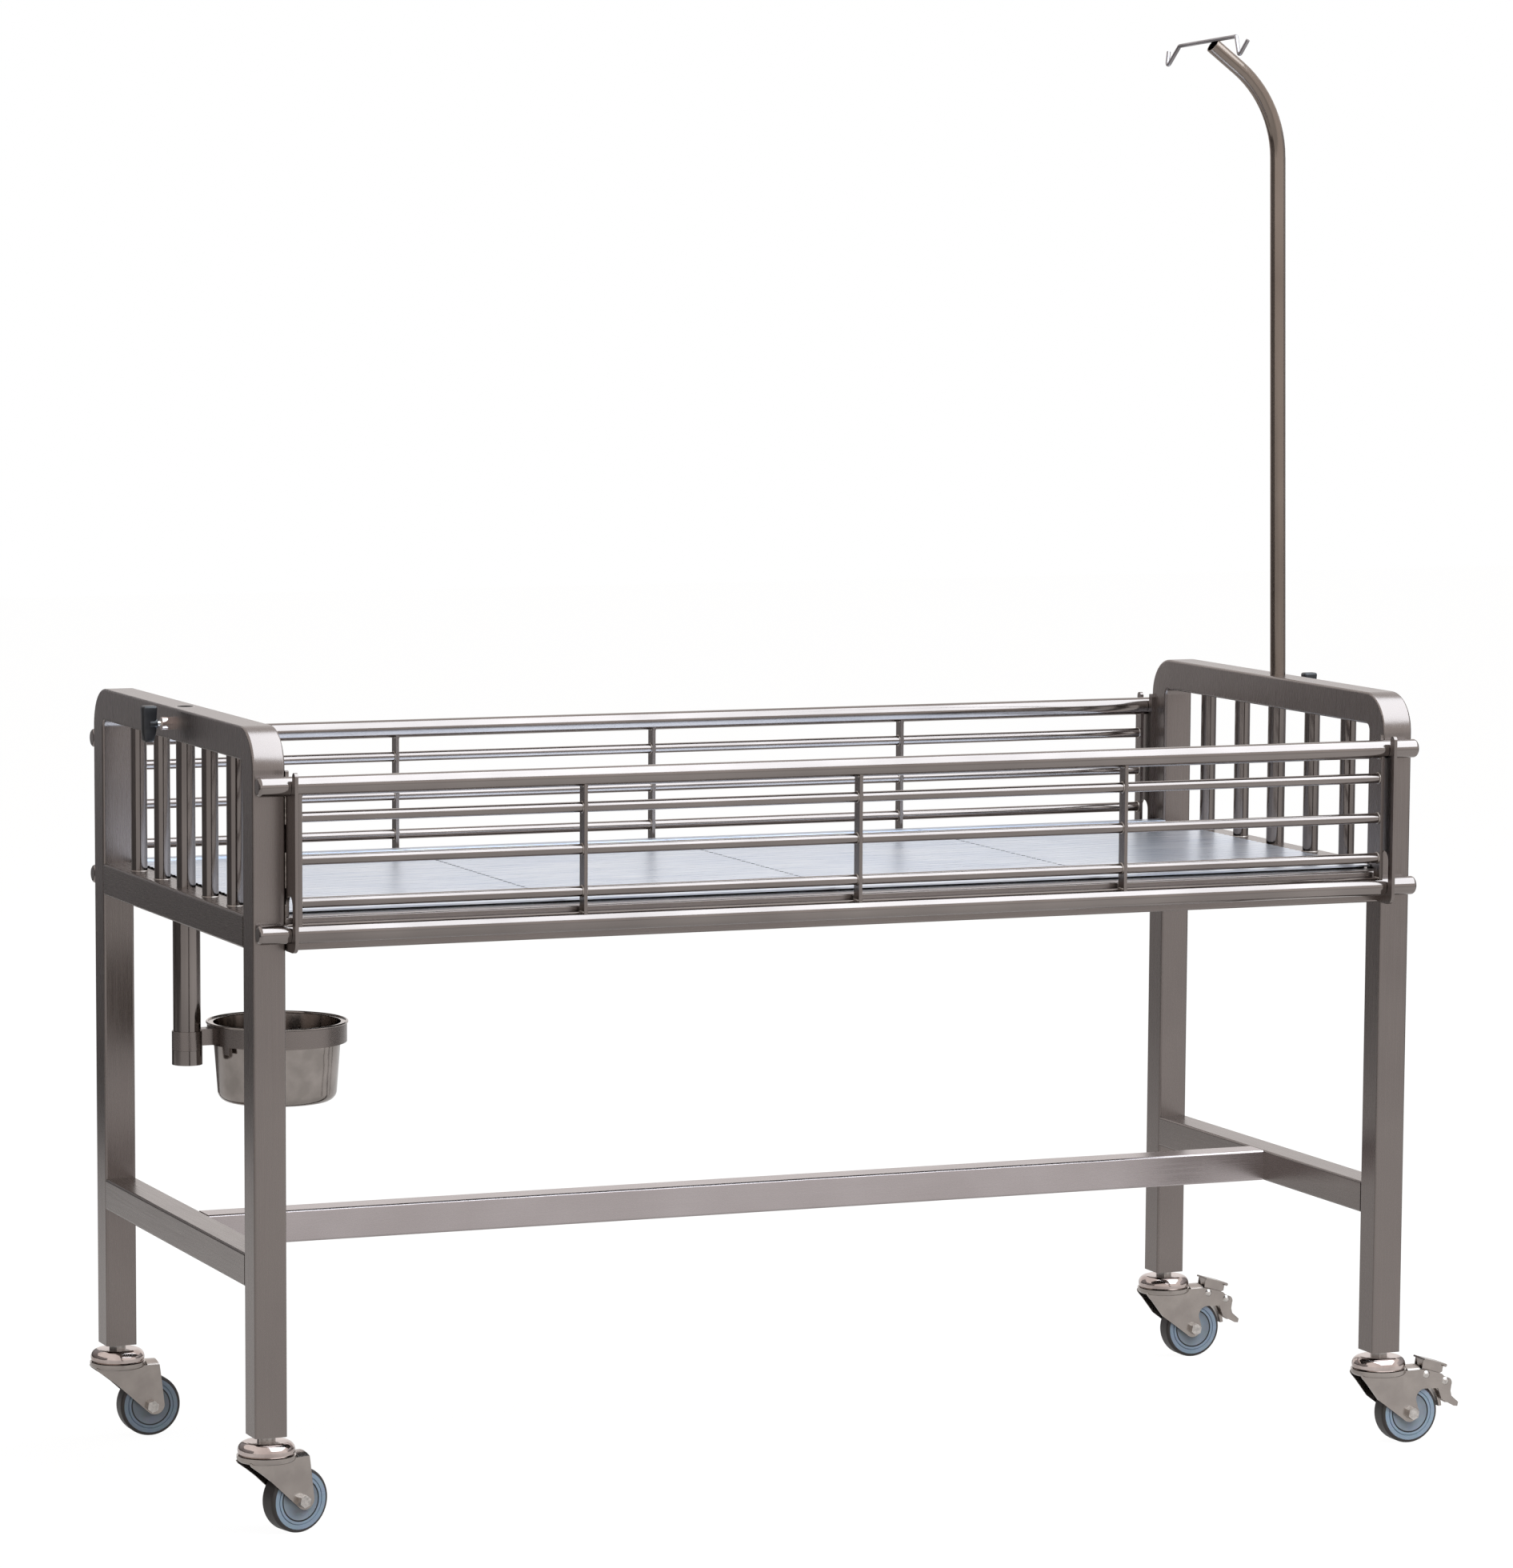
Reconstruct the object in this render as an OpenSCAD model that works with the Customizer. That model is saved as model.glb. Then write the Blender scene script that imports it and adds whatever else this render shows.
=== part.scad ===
// Patient trolley for a veterinary clinic: stainless square tube frame on four
// swivel casters, a slatted deck, two lift-off side guards, a clamped drip pole
// and a swinging bowl holder. Millimetres, floor at z 0, length along x.

/* [Frame] */
// Overall length over the two end frames
frame_l = 1450; // [1350:1:1600]
// Overall width over the two end frames
frame_w = 620; // [580:1:680]
// Height of the end frames above the floor
end_h = 912; // [900:1:960]
// Side of the square tube
tube = 38; // [36:0.5:40]
// Wall of the square tube
tube_wall = 1.5; // [1:0.1:2]
// Outer radius of the bent top corners
bend_r = 46; // [44:1:60]
// Top of the bed rails above the floor
bed_z = 702; // [690:1:710]
// Top of the low rails above the floor
low_z = 320; // [250:1:400]
// Diameter of the end bars
spindle_d = 19; // [16:0.5:22]
// Step between the end bars
spindle_step = 93; // [80:1:100]

/* [Deck] */
// Slats across the width of the deck
slat_n = 37; // [25:1:41]
// Gap between two slats
slat_gap = 1.2; // [0.8:0.1:2]
// Thickness of the slats
slat_t = 2.5; // [2:0.5:4]

/* [Guards] */
// Diameter of the two long guard tubes
guard_d = 22; // [20:0.5:23]
// Diameter of the three thin guard bars
guard_bar_d = 12; // [10:0.5:14]
// Step between the thin guard bars
guard_step = 47.7; // [44:0.1:50]
// Distance between the two long tubes of a guard
guard_h = 164.2; // [160:0.1:168]
// Step between the flat uprights of a guard
flat_step = 338; // [320:1:340]
// How far a guard lifts before its top tube is free
guard_lift = 32; // [30:0.5:36]

/* [Drip pole] */
// Outside diameter of the drip pole
pole_d = 19; // [16:0.5:20]
// Lean of the pole above the end frame, towards the middle
pole_lean = 1.05; // [0.5:0.05:2]
// Height at which the pole starts to bend
pole_bend_z = 1547.5; // [1400:0.5:1700]
// Centre line radius of the bend
pole_bend_r = 138.8; // [100:0.2:160]
// Angle of the bend
pole_angle = 52.05; // [40:0.05:60]
// Straight length after the bend
pole_tail = 44.9; // [30:0.1:110]
// Diameter of the hook rod
hook_d = 5; // [4:0.5:6]

/* [Bowl] */
// Diameter of the bowl post
post_d = 32; // [30:0.5:34]
// Lower end of the bowl post above the floor
post_z = 498; // [480:1:520]
// Distance from the post to the middle of the bowl
bowl_reach = 109.4; // [106:0.1:125]
// Outside diameter of the bowl ring
ring_d = 163; // [155:0.5:166]
// Depth of the bowl
bowl_h = 92; // [80:1:110]

/* [Casters] */
// Wheel diameter
wheel_d = 75; // [74:0.5:76]
// Wheel width
wheel_w = 24; // [22:0.5:25]
// Distance of the axle behind the swivel axis
trail = 38; // [37:0.5:40]
// Angle of the front left caster
front_left_yaw = 15; // [0:1:90]

/* [Hidden] */
$fn = 48;
half = tube / 2;
wall_gap = 0.05;
corner_r = 3;
sheet = 2;
x_left = half;
x_right = frame_l - half;
y_mid = frame_w / 2;
arch_z = end_h - bend_r;
bar_z = end_h - half;
clamp_z = bar_z;
screw_r = 3;
socket_r = pole_d / 2 + 0.1;
socket_or = socket_r + 1.4;
boss_l = 10;
knob_in = 15;
knob_out = 34;

// Guard seats
guard_y = -12;
guard_low_z = bed_z - 17.7;
guard_top_z = guard_low_z + guard_h;
slot_w = guard_d + 2;
plate_t = 4;
guard_side = tube + plate_t;
flat_t = 4;
flat_w = 15;

// Deck
deck_l = (frame_l - 2 * tube) / 4;
slat_pitch = (frame_w - 2 * tube) / slat_n;
slat_bottom = bed_z + 2 - slat_t;
bearer_w = 30;
bearer_h = 20;

// A bend is drawn thinner by bend_thin, and the straights beside it run bend_lap into it
bend_thin = 0.04;
bend_lap = 0.15;

// Drip pole, upright in its socket, leaning from lean_z and open at its end
pole_wall = 1.2;
lean_z = end_h + 4;
lean_r = 300;
lean_l = (pole_bend_z - lean_z - lean_r * sin(pole_lean)) / cos(pole_lean);
pole_end = pole_lean + pole_angle;
pole_end_x = x_right - lean_r * (1 - cos(pole_lean)) - lean_l * sin(pole_lean)
    - pole_bend_r * (cos(pole_lean) - cos(pole_end)) - pole_tail * sin(pole_end);
pole_end_z = pole_bend_z + pole_bend_r * (sin(pole_end) - sin(pole_lean))
    + pole_tail * cos(pole_end);

// Hook rod, bent in one leaning plane, its bar across the open end of the pole
hook_lean = 16;
hook_bend = 3.6;
hook_off = hook_d / 2 + 0.4;
hook_up = 5.4;
hook_x = pole_end_x - hook_off * sin(pole_end) + hook_up * cos(pole_end);
hook_z = pole_end_z + hook_off * cos(pole_end) + hook_up * sin(pole_end);
hook_path = [
    [-92, -1.8],
    [-80.2, -21.3],
    [-58.4, 3.6],
    [88.4, -5.4],
    [107.3, -33],
    [114.6, -12.4]
];

// Bowl
collar_r = post_d / 2 + 1.7;
ring_low = post_z + 20;
ring_h = 21.5;
ring_top = ring_low + ring_h;
ring_r = ring_d / 2;
ring_wall = 3;
bowl_x = x_left + bowl_reach;
bowl_top_r = ring_r - ring_wall - 3;
bowl_low_r = bowl_top_r - 6;
bowl_corner = 12;
bowl_z = ring_top + 1 - bowl_h;

// Casters
axle_z = wheel_d / 2;
crown_z = wheel_d + 11;
leg_z = crown_z + 29;
dome_r = 32.5;
dome_top = crown_z + 22.5;
cup_r = 33.5;
hat_r = 25;
hat_h = 14;
stem_r = 6;
fork_half = wheel_w / 2 + 3;
axle_r = 4;
sleeve_r = 6;
hub_r = 27.5;
head_h = 7.5;
rivet_1 = [58, crown_z - 2.5];
rivet_2 = [84, crown_z - 12];
rivet_r = 3;
shoe_r = wheel_d / 2 + 4;
lever_tip = 104.5;

// Whole box, used to put the origin under its middle
box_left = -knob_out;
box_right = x_right + lever_tip;
box_mid = (box_left + box_right) / 2;

// Shared outlines

module round_square(a, r) {
    square([a, a - 2 * r], center = true);
    square([a - 2 * r, a], center = true);
    for (x = [-1, 1], y = [-1, 1])
        translate([x * (a / 2 - r), y * (a / 2 - r)])
            circle(r = r);
}

module tube_section() {
    difference() {
        round_square(tube, corner_r);
        round_square(tube - 2 * tube_wall, corner_r - 1.5);
    }
}

module along_y(x, z, l) {
    translate([x, (frame_w - l) / 2, z])
        rotate([-90, 0, 0])
            linear_extrude(height = l)
                tube_section();
}

module along_x(y, z) {
    translate([tube, y, z])
        rotate([0, 90, 0])
            linear_extrude(height = frame_l - 2 * tube)
                tube_section();
}

module rod_x(x0, x1, y, z, r) {
    translate([x0, y, z])
        rotate([0, 90, 0])
            cylinder(r = r, h = x1 - x0);
}

module rod_y(x, y0, y1, z, r) {
    translate([x, y0, z])
        rotate([-90, 0, 0])
            cylinder(r = r, h = y1 - y0);
}

module both_ends() {
    children();
    translate([frame_l, 0, 0])
        mirror([1, 0, 0])
            children();
}

module both_sides() {
    children();
    translate([0, frame_w, 0])
        mirror([0, 1, 0])
            children();
}

// End frames

module rear_bend() {
    translate([half, frame_w - bend_r, arch_z])
        rotate([90, 0, 0])
            rotate([0, 90, 0])
                rotate_extrude(angle = 90)
                    translate([bend_r - half, 0])
                        tube_section();
}

module arch() {
    difference() {
        union() {
            both_sides()
                rear_bend();
            along_y(half, bar_z, frame_w - 2 * bend_r);
        }
        translate([half, y_mid, bar_z - tube])
            cylinder(r = socket_or + wall_gap, h = 2 * tube);
        rod_x(-1, half, y_mid, clamp_z, screw_r + wall_gap);
    }
}

module left_arch() {
    color("silver")
        arch();
}

module right_arch() {
    color("silver")
        translate([frame_l, 0, 0])
            mirror([1, 0, 0])
                arch();
}

module leg(x, y) {
    color("silver")
        translate([x, y, leg_z])
            linear_extrude(height = arch_z - leg_z)
                tube_section();
}

module front_left_leg() {
    leg(x_left, half);
}

module rear_left_leg() {
    leg(x_left, frame_w - half);
}

module front_right_leg() {
    leg(x_right, half);
}

module rear_right_leg() {
    leg(x_right, frame_w - half);
}

module end_rails() {
    color("silver")
        for (x = [x_left, x_right], z = [low_z, bed_z])
            along_y(x, z - half, frame_w - 2 * tube);
}

module bed_side_rails() {
    color("silver")
        both_sides()
            along_x(half, bed_z - half);
}

module stretcher() {
    color("silver")
        along_x(y_mid, low_z - half);
}

module end_spindles() {
    color("silver")
        for (x = [x_left, x_right], k = [-2, -1, 1, 2])
            translate([x, y_mid + k * spindle_step, bed_z])
                difference() {
                    cylinder(d = spindle_d, h = end_h - tube - bed_z);
                    translate([0, 0, -1])
                        cylinder(d = spindle_d - 2.4, h = end_h);
                }
}

module socket_tube() {
    difference() {
        translate([x_left, y_mid, bed_z])
            cylinder(r = socket_or, h = end_h - bed_z);
        translate([x_left, y_mid, bed_z - 1])
            cylinder(r = socket_r, h = end_h);
        rod_x(-1, x_left, y_mid, clamp_z, screw_r + wall_gap);
    }
}

module pole_sockets() {
    color("gainsboro")
        both_ends()
            socket_tube();
}

module leg_inserts() {
    color("gray")
        for (x = [x_left, x_right], y = [half, frame_w - half])
            translate([x, y, leg_z])
                difference() {
                    linear_extrude(height = 25)
                        round_square(tube - 2 * tube_wall, corner_r);
                    translate([0, 0, -1])
                        cylinder(r = stem_r + wall_gap, h = 30);
                }
}

// Deck

module bearer(x) {
    translate([x, tube, slat_bottom - sheet - bearer_h])
        difference() {
            translate([-bearer_w / 2, 0, 0])
                cube([bearer_w, frame_w - 2 * tube, bearer_h]);
            translate([1.5 - bearer_w / 2, -1, 1.5])
                cube([bearer_w - 3, frame_w, bearer_h - 3]);
        }
}

module deck_bearers() {
    color("silver") {
        bearer(tube + bearer_w / 2);
        for (k = [1, 2, 3])
            bearer(tube + k * deck_l);
        bearer(frame_l - tube - bearer_w / 2);
    }
}

module slat_outline(l, w, r) {
    translate([r, 0])
        square([l - 2 * r, w]);
    translate([0, r])
        square([l, w - 2 * r]);
    for (x = [r, l - r], y = [r, w - r])
        translate([x, y])
            circle(r = r);
}

module deck_panel(x) {
    translate([x + 0.25, tube, slat_bottom])
        linear_extrude(height = slat_t)
            for (j = [0 : slat_n - 1])
                translate([0, j * slat_pitch + slat_gap / 2])
                    slat_outline(deck_l - 0.5, slat_pitch - slat_gap, 4.5);
    for (f = [0.05, 0.5, 0.95])
        translate([x + f * deck_l - 10, tube + slat_gap, slat_bottom - sheet])
            cube([20, frame_w - 2 * (tube + slat_gap), sheet]);
}

module deck_panels() {
    color("lightsteelblue")
        for (k = [0 : 3])
            deck_panel(tube + k * deck_l);
}

module deck_edge_strips() {
    color("gainsboro")
        both_sides()
            translate([tube + 1, tube - 12, bed_z + 2])
                cube([frame_l - 2 * tube - 2, 20, sheet]);
}

// Side guards and the plates that carry them

module bracket_outline() {
    low = guard_low_z - slot_w / 2 - 8.3;
    top = guard_top_z + 16.5;
    front = guard_y - slot_w / 2 - 10;
    difference() {
        union() {
            translate([front, low + 12])
                square([8 - front, top - low - 17]);
            translate([front + 12, low])
                square([-front - 4, 20]);
            translate([front + 12, low + 12])
                circle(r = 12);
            translate([front + 5, top - 5])
                circle(r = 5);
            translate([3, top - 5])
                circle(r = 5);
        }
        // seat of the top tube, open upward
        translate([guard_y, guard_top_z + 1])
            circle(d = slot_w);
        translate([guard_y - slot_w / 2, guard_top_z + 1])
            square([slot_w, 40]);
        // slot of the low tube
        translate([guard_y, guard_low_z + 0.95])
            circle(d = slot_w);
        translate([guard_y, guard_low_z + guard_lift - 0.75])
            circle(d = slot_w);
        translate([guard_y - slot_w / 2, guard_low_z + 0.95])
            square([slot_w, guard_lift - 1.7]);
        // room for the side rail
        translate([0, low - 1])
            square([20, bed_z - low + 1]);
    }
}

module guard_brackets() {
    color("dimgray")
        both_ends()
            both_sides()
                translate([tube, 0, 0])
                    rotate([90, 0, 90])
                        linear_extrude(height = plate_t)
                            bracket_outline();
}

module guard_tube(z) {
    r = guard_d / 2;
    tip = 4;
    difference() {
        union() {
            rod_x(1 + tip, frame_l - 1 - tip, guard_y, z, r);
            rod_x(1, frame_l - 1, guard_y, z, r - tip);
            for (x = [1 + tip, frame_l - 1 - tip])
                translate([x, guard_y, z])
                    rotate([0, 90, 0])
                        rotate_extrude()
                            intersection() {
                                translate([r - tip, 0])
                                    circle(r = tip);
                                translate([0, -tip])
                                    square([r, 2 * tip]);
                            }
        }
        rod_x(1 + tip, frame_l - 1 - tip, guard_y, z, r - 1.2);
    }
}

module guard_tubes() {
    color("gainsboro")
        for (z = [guard_low_z, guard_top_z])
            guard_tube(z);
}

module guard_bars() {
    mid = (guard_low_z + guard_top_z) / 2;
    reach = 2 * flat_step - flat_t / 2;
    color("gainsboro")
        for (k = [-1, 0, 1])
            rod_x(frame_l / 2 - reach, frame_l / 2 + reach, guard_y,
                mid + k * guard_step, guard_bar_d / 2);
}

module guard_uprights() {
    mid = (guard_low_z + guard_top_z) / 2;
    color("gray")
        for (k = [-2 : 2])
            difference() {
                translate([frame_l / 2 + k * flat_step - flat_t / 2,
                    guard_y - flat_w / 2, guard_low_z + 7])
                    cube([flat_t, flat_w, guard_h - 14]);
                for (z = [guard_low_z, guard_top_z])
                    rod_x(1, frame_l, guard_y, z, guard_d / 2 + wall_gap);
                if (abs(k) < 2)
                    for (j = [-1, 0, 1])
                        rod_x(1, frame_l, guard_y, mid + j * guard_step,
                            guard_bar_d / 2 + wall_gap);
            }
}

module to_rear() {
    translate([0, frame_w, 0])
        mirror([0, 1, 0])
            children();
}

module front_guard_tubes() {
    guard_tubes();
}

module front_guard_bars() {
    guard_bars();
}

module front_guard_uprights() {
    guard_uprights();
}

module rear_guard_tubes() {
    to_rear()
        guard_tubes();
}

module rear_guard_bars() {
    to_rear()
        guard_bars();
}

module rear_guard_uprights() {
    to_rear()
        guard_uprights();
}

// Drip pole

module ring(r, t) {
    difference() {
        circle(r = r);
        circle(r = r - t);
    }
}

// Straight length of the pole from one height to another
module pole_length(from, to) {
    translate([0, 0, from])
        linear_extrude(height = to - from)
            ring(pole_d / 2, pole_wall);
}

// Bend of the pole towards the middle, and what follows it
module pole_turn(angle, bend) {
    translate([-bend, 0, 0]) {
        rotate([90, 0, 0])
            rotate_extrude(angle = angle)
                translate([bend, 0])
                    ring(pole_d / 2 - bend_thin, pole_wall - 2 * bend_thin);
        rotate([0, -angle, 0])
            translate([bend, 0, 0])
                children();
    }
}

module drip_pole() {
    color("gainsboro")
        translate([x_right, y_mid, lean_z]) {
            pole_length(bed_z + 4.2 - lean_z, bend_lap);
            pole_turn(pole_lean, lean_r) {
                pole_length(-bend_lap, lean_l + bend_lap);
                translate([0, 0, lean_l])
                    pole_turn(pole_angle, pole_bend_r)
                        pole_length(-bend_lap, pole_tail);
            }
        }
}

module pole_foot() {
    color("dimgray")
        translate([x_right, y_mid, bed_z]) {
            cylinder(r = pole_d / 2, h = 4);
            cylinder(r = pole_d / 2 - 1.3, h = 24);
        }
}

// Headings and turns along a planar path; a bend takes the length lost() off each leg beside it
function leg(path, i) = path[i + 1] - path[i];
function heading(path, i) = atan2(leg(path, i)[1], leg(path, i)[0]);
function turn(path, i) = heading(path, i) - heading(path, i - 1);
function lost(path, i, bend) = i == 0 || i == len(path) - 1 ? 0 : bend * tan(abs(turn(path, i)) / 2);

// Round rod along a planar path, each leg drawn from the end of the bend before it
module bent_rod(path, r, bend, i = 0) {
    straight = norm(leg(path, i)) - lost(path, i, bend) - lost(path, i + 1, bend);
    from = i == 0 ? 0 : -bend_lap;
    to = straight + (i == len(path) - 2 ? 0 : bend_lap);
    translate([from, 0, 0])
        rotate([0, 90, 0])
            cylinder(r = r, h = to - from);
    if (i < len(path) - 2) {
        side = sign(turn(path, i + 1));
        translate([straight, side * bend, 0]) {
            mirror([0, side > 0 ? 0 : 1, 0])
                rotate([0, 0, -90])
                    rotate_extrude(angle = abs(turn(path, i + 1)))
                        translate([bend, 0])
                            circle(r = r - bend_thin);
            rotate([0, 0, turn(path, i + 1)])
                translate([0, -side * bend, 0])
                    bent_rod(path, r, bend, i + 1);
        }
    }
}

module hook_rod() {
    color("gainsboro")
        translate([hook_x, y_mid, hook_z])
            rotate([0, hook_lean, 0])
                rotate([90, 0, 90])
                    translate(hook_path[0])
                        rotate([0, 0, heading(hook_path, 0)])
                            bent_rod(hook_path, hook_d / 2, hook_bend);
}

// Pole clamps

module clamp_bosses() {
    color("gainsboro")
        both_ends()
            difference() {
                rod_x(-boss_l, 0, y_mid, clamp_z, 7.5);
                rod_x(-boss_l - 1, 1, y_mid, clamp_z, screw_r + wall_gap);
            }
}

module knob() {
    wing_h = 42;
    color("#1c1c1e")
        difference() {
            union() {
                rod_x(-knob_in - 13, -knob_in, y_mid, clamp_z, 7);
                intersection() {
                    translate([-knob_out, y_mid - 8, clamp_z - wing_h / 2])
                        cube([knob_out - knob_in, 16, wing_h]);
                    rod_y(4, 0, frame_w, clamp_z, knob_out + 4);
                    difference() {
                        translate([-knob_out - 1, y_mid - 10, clamp_z - wing_h])
                            cube([knob_out, 20, 2 * wing_h]);
                        for (s = [-1, 1])
                            rod_y(-knob_in + 12, 0, frame_w,
                                clamp_z + s * 27, 20);
                    }
                }
            }
            rod_x(-knob_in - 8, 0, y_mid, clamp_z, screw_r + wall_gap);
        }
}

module left_knob() {
    knob();
}

module left_knob_screw() {
    color("gray")
        rod_x(-knob_in - 8, x_left - socket_r - 0.3, y_mid, clamp_z, screw_r);
}

module right_knob() {
    translate([frame_l, 0, 0])
        mirror([1, 0, 0])
            knob();
}

module right_knob_screw() {
    color("gray")
        rod_x(x_right + pole_d / 2 + 0.3, frame_l + knob_in + 8, y_mid,
            clamp_z, screw_r);
}

// Bowl holder

module bowl_post() {
    color("silver")
        translate([x_left, y_mid, post_z])
            difference() {
                cylinder(d = post_d, h = bed_z - tube - post_z);
                translate([0, 0, -1])
                    cylinder(d = post_d - 3, h = 400);
            }
}

module bowl_post_stop() {
    color("silver")
        translate([x_left, y_mid, post_z - 2])
            difference() {
                cylinder(r = collar_r, h = 17);
                translate([0, 0, 2])
                    cylinder(d = post_d + 2 * wall_gap, h = 20);
            }
}

module bowl_bracket() {
    color("silver")
        difference() {
            union() {
                translate([x_left, y_mid, post_z + 15.2])
                    cylinder(r = collar_r, h = 22);
                translate([x_left, y_mid - 9, ring_low])
                    cube([bowl_reach - ring_r + 2, 18, 19.2]);
                translate([bowl_x, y_mid, ring_low])
                    cylinder(r = ring_r, h = ring_h, $fn = 96);
                translate([bowl_x, y_mid, 0])
                    rotate([0, 0, 206])
                        translate([ring_r - ring_wall, -4, ring_low - 9])
                            cube([ring_wall - 0.5, 8, 12]);
            }
            translate([x_left, y_mid, post_z])
                cylinder(d = post_d + 2 * wall_gap, h = 60);
            translate([bowl_x, y_mid, ring_low - 20])
                cylinder(r = ring_r - ring_wall, h = 60, $fn = 96);
        }
}

// Section of the bowl: flat bottom, round corner, leaning wall, flange and rolled rim
module bowl_section() {
    t = 1;
    lean = atan((bowl_top_r - bowl_low_r) / (bowl_h - bowl_corner));
    cx = bowl_low_r - bowl_corner;
    r = bowl_corner;
    top = bowl_h - 0.6;
    foot_out = [cx + r * cos(lean), r - r * sin(lean)];
    foot_in = [cx + (r - t) * cos(lean), r - (r - t) * sin(lean)];
    head_out = foot_out[0] + (top - foot_out[1]) * tan(lean);
    head_in = foot_in[0] + (top - foot_in[1]) * tan(lean);
    square([cx, t]);
    translate([cx, r])
        intersection() {
            difference() {
                circle(r = r);
                circle(r = r - t);
            }
            polygon([[0, 0], [0, -2 * r], [2 * r, -2 * r], [2 * r * cos(lean), -2 * r * sin(lean)]]);
        }
    polygon([foot_in, foot_out, [head_out, top], [head_in, top]]);
    translate([head_in, top])
        square([ring_r + 0.1 - head_in, t]);
    translate([ring_r + 0.1, bowl_h + 0.6])
        circle(r = 1.4);
}

module bowl() {
    color("gainsboro")
        translate([bowl_x, y_mid, bowl_z])
            rotate_extrude($fn = 96)
                bowl_section();
}

// Casters: index 0 front left, 1 rear left, 2 front right, 3 rear right

function yaw(i) = i == 0 ? front_left_yaw : 0;

module at_caster(i) {
    x = i < 2 ? x_left : x_right;
    y = i % 2 == 0 ? half : frame_w - half;
    translate([x, y, 0])
        rotate([0, 0, yaw(i)])
            children();
}

module caster_stems() {
    color("gray")
        for (i = [0 : 3])
            at_caster(i) {
                translate([0, 0, crown_z + hat_h - 5.8])
                    cylinder(r = 11, h = 3.5);
                translate([0, 0, crown_z + hat_h - 5.8])
                    cylinder(r = stem_r, h = leg_z - crown_z - hat_h + 28);
            }
}

module caster_nuts() {
    color("gainsboro")
        for (i = [0 : 3])
            at_caster(i)
                translate([0, 0, dome_top])
                    difference() {
                        rotate([0, 0, 8])
                            cylinder(d = 21.9, h = leg_z - dome_top, $fn = 6);
                        translate([0, 0, -1])
                            cylinder(r = stem_r + wall_gap, h = 20);
                    }
}

module dome_section(t) {
    top = dome_top - t;
    mid = dome_top - 10;
    square([dome_r - 10, top]);
    translate([dome_r - 10, mid])
        circle(r = 10 - t);
}

module swivel_domes() {
    low = crown_z + 7.6;
    color("whitesmoke")
        for (i = [0 : 3])
            at_caster(i)
                rotate_extrude()
                    difference() {
                        dome_section(0);
                        dome_section(sheet);
                        square([60, low]);
                        square([stem_r + wall_gap, 200]);
                    }
}

module swivel_balls() {
    r = 3;
    color("gray")
        for (i = [0 : 3], k = [0 : 9])
            at_caster(i)
                rotate([0, 0, 36 * k])
                    translate([19, 0, crown_z + hat_h + r + 0.25])
                        sphere(r = r, $fn = 24);
}

module crown_section() {
    difference() {
        union() {
            square([cup_r - 4, 4]);
            translate([cup_r - 4, 4])
                circle(r = 4);
            translate([0, 4])
                square([cup_r, 3]);
            square([hat_r, hat_h]);
        }
        // inside of the cup
        difference() {
            union() {
                translate([0, 2])
                    square([cup_r - 4, 5]);
                translate([cup_r - 4, 4])
                    circle(r = 2);
                translate([0, 4])
                    square([cup_r - 2, 10]);
            }
            square([hat_r, hat_h]);
        }
        translate([0, -1])
            square([hat_r - sheet, hat_h + 1 - sheet]);
        square([stem_r + wall_gap, hat_h + 1]);
        translate([hat_r, 7])
            square([40, 20]);
    }
}

module crowned(w, c, r) {
    // straight sides below an arched top
    intersection() {
        translate([-w, 0])
            square([2 * w, c + r]);
        union() {
            translate([0, c])
                circle(r = r, $fn = 96);
            translate([-w, 0])
                square([2 * w, c]);
        }
    }
}

module fork_sheet(u0, u1, top, sag) {
    // folded sheet with a crowned top, running along the trail
    r = (fork_half * fork_half + sag * sag) / (2 * sag);
    c = top + sag - r;
    translate([u0, 0, 0])
        rotate([90, 0, 90])
            linear_extrude(height = u1 - u0)
                difference() {
                    crowned(fork_half, c, r);
                    translate([0, -1])
                        square([2 * (fork_half - sheet), 4], center = true);
                    crowned(fork_half - sheet, c, r - sheet);
                }
}

module cheeks(top) {
    for (s = [-1, 1])
        translate([-60, s * (fork_half - sheet / 2) - sheet / 2, 0])
            cube([200, sheet, top]);
}

module sideways() {
    translate([0, 60, 0])
        rotate([90, 0, 0])
            linear_extrude(height = 120)
                children();
}

module plain_outline() {
    cx = trail + 4.5;
    cz = axle_z + 1;
    polygon([
        [-31, crown_z + 1],
        [-29, crown_z - 2],
        [-16.5, crown_z - 11],
        [-5.9, crown_z - 19.4],
        [cx - 8.4, cz - 8.6],
        [cx, cz],
        [cx + 12, cz],
        [cx + 7, crown_z - 6],
        [cx + 6, crown_z + 1],
        [cx + 4, crown_z + 8],
        [-31, crown_z + 8]
    ]);
    translate([cx, cz])
        circle(r = 12);
}

module brake_outline() {
    cx = trail - 1.5;
    cz = axle_z + 1;
    // round corner over the wheel
    arch_r = 12;
    arch_u = 44.6;
    arch_top = 66.2;
    difference() {
        union() {
            polygon([
                [-31, crown_z + 1],
                [-29, crown_z - 2],
                [-23.7, crown_z - 8],
                [-8, crown_z - 28.9],
                [cx - 9, cz - 8],
                [cx, cz],
                [cx + 12, cz],
                [arch_u, arch_top - arch_r],
                [arch_u + arch_r, arch_top],
                [74.2, 65.6],
                [79.4, 52],
                [87, 48],
                [93.6, 53],
                [91.7, 61],
                [93, 70],
                [79.3, crown_z - 3],
                [62.7, crown_z + 2],
                [52, crown_z + 4],
                [50, crown_z + 9],
                [-31, crown_z + 9]
            ]);
            translate([cx, cz])
                circle(r = 12);
            translate([86.3, 71])
                circle(r = 7);
        }
        translate([arch_u + arch_r, arch_top - arch_r])
            circle(r = arch_r);
    }
}

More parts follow.
